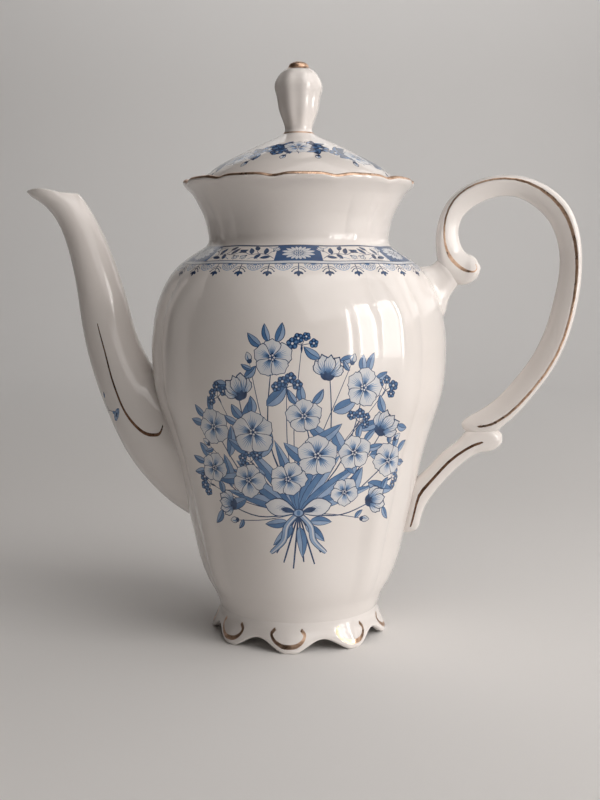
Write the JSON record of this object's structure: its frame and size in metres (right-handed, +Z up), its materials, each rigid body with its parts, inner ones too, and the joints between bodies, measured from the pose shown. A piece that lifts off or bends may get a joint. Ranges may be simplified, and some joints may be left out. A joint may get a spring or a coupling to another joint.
{
  "type": "teapot",
  "caption": "Tall porcelain teapot: lobed body, flared wavy rim, long S-curved spout, open scroll handle, scalloped foot, loose domed lid with fluted knob, gilt lines and blue flower decor.",
  "frame": {"origin": "On the pot's axis, on the surface it stands on.", "axes": "+Z up along the pot's axis, +X towards the handle, -X towards the spout, -Y towards the front."},
  "size_m": [0.2441, 0.1296, 0.25],
  "materials": {
    "porcelain": "glossy glaze",
    "gilding": "burnished gilt line",
    "blue_decor": "underglaze blue"
  },
  "bodies": {
    "pot": {"pot_body": "porcelain", "foot_ring": "porcelain", "spout": "porcelain", "handle_loop": "porcelain", "handle_boss": "porcelain", "handle_bracket": "porcelain"},
    "lid": {"lid_cover": "porcelain", "lid_knob": "porcelain"}
  },
  "joints": [
    {"name": "lid_lift", "type": "slide", "parent": "pot", "child": "lid", "axis": [0, 0, 1], "range_m": [0, 0.08]}
  ]
}
